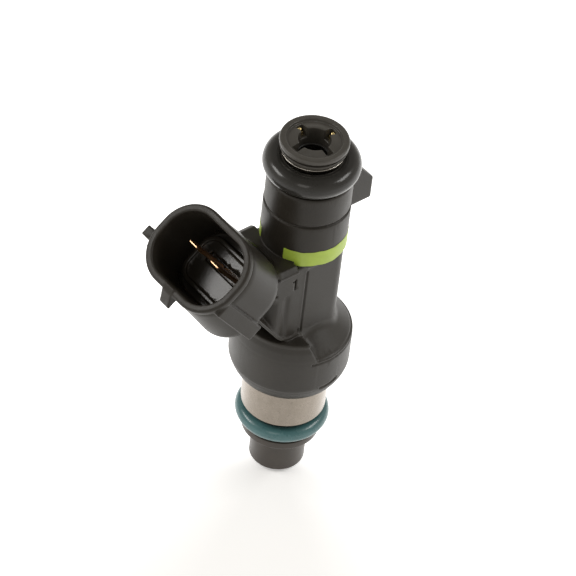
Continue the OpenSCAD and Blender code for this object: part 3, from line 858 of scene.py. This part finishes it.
# ---------------------------------------------------------------------------
# Return spring. Music wire with ground ends, inside the core. It pushes the
# needle down on its seat.
# ---------------------------------------------------------------------------

parts_v, parts_f = [], []
low, high, wire, radius = 22.4, 32.0, 0.2, 1.2
u = np.linspace(0, 1, 520)
angle = 2 * math.pi * 10 * u
rise = np.interp(u, [0, 0.1, 0.9, 1], [0, 0.04, 0.96, 1])
z = low + wire + (high - low - 2 * wire) * rise
add_bar(np.stack([radius * np.cos(angle), radius * np.sin(angle), z], 1), wire, 12)
spring = object_from("needle_spring", np.concatenate(parts_v), parts_f)
keep_sharp(spring, 60)
spring_wire = grained("spring_wire", (0.36, 0.36, 0.37), (0.46, 0.46, 0.47),
                      rough=0.28, grain=0.1, bump=0.004, metallic=1.0)
coat_with(spring, spring_wire)
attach(spring, "injector")
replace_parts(spring, "return_spring")
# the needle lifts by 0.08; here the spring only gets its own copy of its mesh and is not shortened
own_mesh(spring)

# ---------------------------------------------------------------------------
# Magnet circuit and valve group. Turned and ground steel pieces on the axis,
# hidden by the body: the core, its ring, the armature, the needle, the ball
# and the seat with its spray plate.
# ---------------------------------------------------------------------------

turned_steel = grained("turned_steel", (0.36, 0.355, 0.35), (0.46, 0.455, 0.445),
                       rough=0.32, grain=0.08, bump=0.006, stretch=(0.4, 0.4, 3.0), metallic=1.0)
ground_steel = grained("ground_steel", (0.50, 0.49, 0.47), (0.60, 0.59, 0.57),
                       rough=0.22, grain=0.06, bump=0.003, stretch=(0.6, 0.6, 2.0), metallic=1.0)
polished = grained("polished_ball", (0.66, 0.66, 0.67), (0.72, 0.72, 0.73),
                   rough=0.08, grain=0.3, bump=0.001, metallic=1.0, rough_spread=0.03)
for name in ("pole_core", "yoke_ring", "armature"):
    coat_with(nodes[name], turned_steel)
for name in ("adjusting_sleeve", "isolating_ring", "needle_tube", "needle_guide", "stop_washer", "valve_seat",
             "orifice_plate"):
    coat_with(nodes[name], ground_steel)
coat_with(nodes["valve_body"], steel_skin)
coat_with(nodes["valve_ball"], polished)

# ---------------------------------------------------------------------------
# Studio: a pale floor under the tip that glows as painted light, dimmer in front as a painted shadow,
# soft boxes to the left and right, weaker ones in front and overhead, and a sky that darkens upwards.
# ---------------------------------------------------------------------------

floor_mesh = bpy.data.meshes.new("floor")
floor_mesh.from_pydata([(-3, -3, 0), (3, -3, 0), (3, 3, 0), (-3, 3, 0)], [], [(0, 1, 2, 3)])
floor = bpy.data.objects.new("floor", floor_mesh)
floor.location.z = -0.0004
bpy.context.scene.collection.objects.link(floor)
pale = bpy.data.materials.new("pale_floor")
pale.use_nodes = True
tree = pale.node_tree
shader = tree.nodes["Principled BSDF"]
shader.inputs["Base Color"].default_value = (0.93, 0.93, 0.93, 1)
shader.inputs["Roughness"].default_value = 0.9
shader.inputs["Specular IOR Level"].default_value = 0.1
shader.inputs["Emission Color"].default_value = (1, 1, 1, 1)
# painted light: the floor glows, and glows less towards the front as a painted shadow of the piece, so that
# the sides of the piece, which reflect it, look brighter than its middle
place = node(tree, "ShaderNodeTexCoord")
flat = node(tree, "ShaderNodeVectorMath", operation="MULTIPLY", in_0=place.outputs["Object"])
flat.inputs[1].default_value = (1, 1, 0)
way = node(tree, "ShaderNodeVectorMath", operation="NORMALIZE", in_0=flat.outputs["Vector"])
facing = node(tree, "ShaderNodeVectorMath", operation="DOT_PRODUCT", in_0=way.outputs["Vector"])
facing.inputs[1].default_value = (-0.682, -0.731, 0)
painted_floor_glow = mapped(tree, facing.outputs["Value"], 0.95, -0.3, 0.26, 1.0)
tree.links.new(painted_floor_glow, shader.inputs["Emission Strength"])
floor_mesh.materials.append(pale)


def soft_box(name, direction, distance, wide, tall, watts, colour):
    lamp = bpy.data.lights.new(name, "AREA")
    lamp.shape = "RECTANGLE"
    lamp.size, lamp.size_y = wide, tall
    lamp.energy = watts
    lamp.color = colour
    made = bpy.data.objects.new(name, lamp)
    way = Vector(direction).normalized()
    made.location = Vector((0, 0, 0.035)) + way * distance
    made.rotation_mode = "QUATERNION"
    made.rotation_quaternion = way.to_track_quat("Z", "Y")
    bpy.context.scene.collection.objects.link(made)


soft_box("box_left", (-0.561, 0.523, 0.641), 0.6, 0.30, 0.15, 1.15, (1.0, 0.985, 0.96))
soft_box("box_right", (0.58, -0.39, 0.712), 0.6, 0.30, 0.15, 1.0, (1.0, 0.99, 0.97))
soft_box("box_front", (-0.62, -0.42, 0.66), 0.7, 0.25, 0.25, 0.35, (1.0, 0.97, 0.93))
soft_box("box_top", (0.297, 0.319, 0.898), 0.6, 0.10, 0.06, 0.05, (0.85, 0.92, 1.0))

world = bpy.data.worlds.new("studio")
bpy.context.scene.world = world
world.use_nodes = True
sky = world.node_tree
spot = node(sky, "ShaderNodeTexCoord")
parts = node(sky, "ShaderNodeSeparateXYZ", in_Vector=spot.outputs["Generated"])
fade = node(sky, "ShaderNodeValToRGB", in_Fac=mapped(sky, parts.outputs["Z"], -1.0, 1.0, 0.0, 1.0))
horizon, zenith = fade.color_ramp.elements
horizon.position = 0.45
horizon.color = (0.92, 0.885, 0.83, 1)
zenith.position = 1.0
zenith.color = (0.16, 0.15, 0.132, 1)
halfway = fade.color_ramp.elements.new(0.72)
halfway.color = (0.52, 0.495, 0.455, 1)
sky.links.new(fade.outputs["Color"], sky.nodes["Background"].inputs["Color"])
sky.nodes["Background"].inputs["Strength"].default_value = 1.0
bpy.context.scene.view_settings.view_transform = "Standard"

# ---------------------------------------------------------------------------
# Camera: a long lens, above and to the left front of the connector.
# ---------------------------------------------------------------------------

target = Vector((0, 0, 32 * MM))
azimuth, elevation, roll = math.radians(-43), math.radians(44.613), math.radians(7.06)
back = Vector((math.sin(azimuth) * math.cos(elevation), -math.cos(azimuth) * math.cos(elevation),
               math.sin(elevation)))
camera = bpy.data.objects.new("camera", bpy.data.cameras.new("camera"))
bpy.context.scene.collection.objects.link(camera)
camera.data.sensor_width = 36
camera.data.lens = 238.7875
camera.location = target + back * 0.55947
camera.rotation_mode = "QUATERNION"
level_view = (-back).to_track_quat("-Z", "Y")
camera.rotation_quaternion = level_view @ Matrix.Rotation(roll, 3, "Z").to_quaternion()
camera.data.shift_x = -0.0116667
camera.data.shift_y = 0.0231944
camera.data.clip_start, camera.data.clip_end = 0.01, 10
bpy.context.scene.camera = camera
